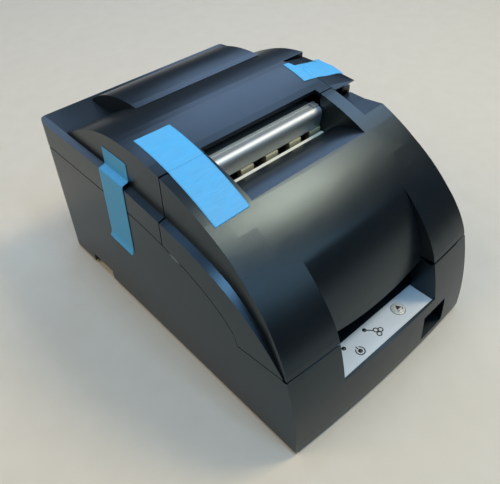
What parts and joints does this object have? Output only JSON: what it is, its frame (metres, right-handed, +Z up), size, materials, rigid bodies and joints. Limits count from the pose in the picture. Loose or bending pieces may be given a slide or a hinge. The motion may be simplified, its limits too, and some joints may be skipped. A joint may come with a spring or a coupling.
{
  "type": "dot matrix printer",
  "caption": "Compact receipt printer: hinged front and rear covers over a print head, paper feed, cutter and roll bay, with a release lever, feed button and power switch.",
  "frame": {"origin": "on the table plane, under the middle of the case's overall box", "axes": "+X to the right seen from the front, -Y towards the front with the control panel, +Z up"},
  "size_m": [0.16, 0.248, 0.1376],
  "materials": {
    "case_plastic": "fine-textured charcoal ABS",
    "foot_rubber": "matte",
    "zinc_screw": "zinc plated",
    "pin_steel": "ground",
    "sheet_steel": "zinc-coated sheet",
    "stainless": "brushed stainless sheet",
    "blade_steel": "ground and hardened",
    "panel_film": "satin printed film",
    "button_grey": "satin",
    "lamp_lens": "dark translucent lens",
    "switch_black": "semi-gloss black nylon",
    "circuit_board": "solder mask",
    "chip_black": "moulded epoxy and nylon",
    "bay_plastic": "smooth dark grey ABS",
    "lever_plastic": "acetal",
    "roller_rubber": "ground",
    "platen_bar": "hard rubber face",
    "gear_acetal": "acetal",
    "brass": "turned",
    "motor_metal": "dark zinc",
    "head_aluminium": "die cast",
    "carriage_black": "glass-filled nylon",
    "belt_rubber": "toothed",
    "cassette_black": "polystyrene",
    "ribbon_ink": "inked nylon",
    "knob_blue": "acetal",
    "bar_offwhite": "satin",
    "finger_beige": "satin"
  },
  "bodies": {
    "base": {"lower_case": "case_plastic", "rubber_feet": "foot_rubber", "case_screws": "zinc_screw", "mechanism_posts": "case_plastic", "panel_label": "panel_film", "status_lamps": "lamp_lens", "panel_board": "circuit_board", "switch_body": "switch_black", "roll_bay": "bay_plastic", "side_frames": "sheet_steel", "frame_tray": "sheet_steel", "platen": "platen_bar", "feed_motor": "motor_metal", "lower_guide": "sheet_steel", "guide_shaft": "pin_steel", "drive_belt": "belt_rubber", "carriage_motor": "motor_metal", "ribbon_cassette": "cassette_black", "ribbon_band": "ribbon_ink", "cutter_frame": "sheet_steel", "fixed_blade": "blade_steel", "cutter_motor": "motor_metal", "cutter_hood": "stainless", "tear_bar": "bar_offwhite", "paper_fingers": "finger_beige", "main_board": "circuit_board", "board_parts": "chip_black", "interface_card": "circuit_board", "interface_plate": "sheet_steel", "rear_sockets": "chip_black"},
    "rear_lid": {"rear_cover": "case_plastic", "rear_hinge_pins": "pin_steel", "lever_pin": "pin_steel"},
    "lever": {"release_lever": "case_plastic"},
    "front_lid": {"front_cover": "case_plastic", "front_hinge_pins": "pin_steel"},
    "button": {"feed_button": "button_grey"},
    "rocker": {"power_rocker": "switch_black"},
    "near_end": {"near_end_lever": "lever_plastic"},
    "head_unit": {"carriage": "carriage_black", "print_head": "head_aluminium"},
    "belt_drive": {"drive_pulley": "brass"},
    "belt_idler": {"idler_pulley": "brass"},
    "feed_roller": {"feed_shaft": "pin_steel", "feed_rollers": "roller_rubber", "roller_gear": "gear_acetal"},
    "feed_idler": {"idler_gear": "gear_acetal"},
    "feed_pinion": {"motor_pinion": "brass"},
    "pinch": {"pinch_rollers": "roller_rubber"},
    "blade": {"moving_blade": "blade_steel"},
    "blade_gear": {"cutter_gear": "gear_acetal"},
    "ribbon_winder": {"ribbon_knob": "knob_blue"}
  },
  "joints": [
    {"name": "rear_cover_hinge", "type": "hinge", "parent": "base", "child": "rear_lid", "pos_m": [0, 0.1195, 0.0975], "axis": [-1, 0, 0], "range_deg": [0, 75]},
    {"name": "lever_tilt", "type": "hinge", "parent": "rear_lid", "child": "lever", "pos_m": [0, 0.0255, 0.1314], "axis": [-1, 0, 0], "range_deg": [0, 14], "stiffness_Nm_per_rad": 0.15, "springref_deg": -20.05},
    {"name": "front_cover_hinge", "type": "hinge", "parent": "base", "child": "front_lid", "pos_m": [0, -0.109, 0.0645], "axis": [1, 0, 0], "range_deg": [0, 60]},
    {"name": "button_press", "type": "slide", "parent": "base", "child": "button", "axis": [0, 0, -1], "range_m": [0, 0.0008], "stiffness_N_per_m": 900, "springref_m": -0.0008},
    {"name": "rocker_tip", "type": "hinge", "parent": "base", "child": "rocker", "pos_m": [0.045, -0.1078, 0.0168], "axis": [0, 0, 1], "range_deg": [-14, 0]},
    {"name": "near_end_tilt", "type": "hinge", "parent": "base", "child": "near_end", "pos_m": [0, 0.092, 0.052], "axis": [1, 0, 0], "range_deg": [-8, 4], "stiffness_Nm_per_rad": 0.02},
    {"name": "carriage_travel", "type": "slide", "parent": "base", "child": "head_unit", "axis": [1, 0, 0], "range_m": [0, 0.056]},
    {"name": "belt_drive_spin", "type": "hinge", "parent": "base", "child": "belt_drive", "pos_m": [0.049, -0.0659, 0.071], "axis": [0, 0, 1], "range_deg": [-540, 20]},
    {"name": "belt_idler_spin", "type": "hinge", "parent": "base", "child": "belt_idler", "pos_m": [-0.047, -0.0659, 0.071], "axis": [0, 0, 1], "range_deg": [-540, 20]},
    {"name": "feed_roller_spin", "type": "hinge", "parent": "base", "child": "feed_roller", "pos_m": [0, -0.0078, 0.066], "axis": [1, 0, 0], "continuous": true},
    {"name": "feed_idler_spin", "type": "hinge", "parent": "base", "child": "feed_idler", "pos_m": [0, -0.02624, 0.05226], "axis": [1, 0, 0], "continuous": true},
    {"name": "feed_pinion_spin", "type": "hinge", "parent": "base", "child": "feed_pinion", "pos_m": [0, -0.03827, 0.04329], "axis": [1, 0, 0], "continuous": true},
    {"name": "pinch_spin", "type": "hinge", "parent": "base", "child": "pinch", "pos_m": [0, -0.0183, 0.066], "axis": [1, 0, 0], "continuous": true},
    {"name": "blade_slide", "type": "slide", "parent": "base", "child": "blade", "axis": [0, -1, 0], "range_m": [0, 0.0048]},
    {"name": "blade_gear_spin", "type": "hinge", "parent": "base", "child": "blade_gear", "pos_m": [0.013, 0.0056, 0.1], "axis": [0, 0, 1], "range_deg": [-42, 2]},
    {"name": "ribbon_spin", "type": "hinge", "parent": "base", "child": "ribbon_winder", "pos_m": [-0.033, -0.0639, 0.09], "axis": [0, 0, 1], "continuous": true}
  ],
  "couplings": [
    {"joint": "belt_drive_spin", "follows": "carriage_travel", "rad_per_m": -166.67},
    {"joint": "belt_idler_spin", "follows": "carriage_travel", "rad_per_m": -166.67},
    {"joint": "feed_idler_spin", "follows": "feed_roller_spin", "ratio": -1.5556},
    {"joint": "feed_pinion_spin", "follows": "feed_roller_spin", "ratio": 2.3333},
    {"joint": "pinch_spin", "follows": "feed_roller_spin", "ratio": -1.55},
    {"joint": "blade_gear_spin", "follows": "blade_slide", "rad_per_m": -142.86}
  ]
}
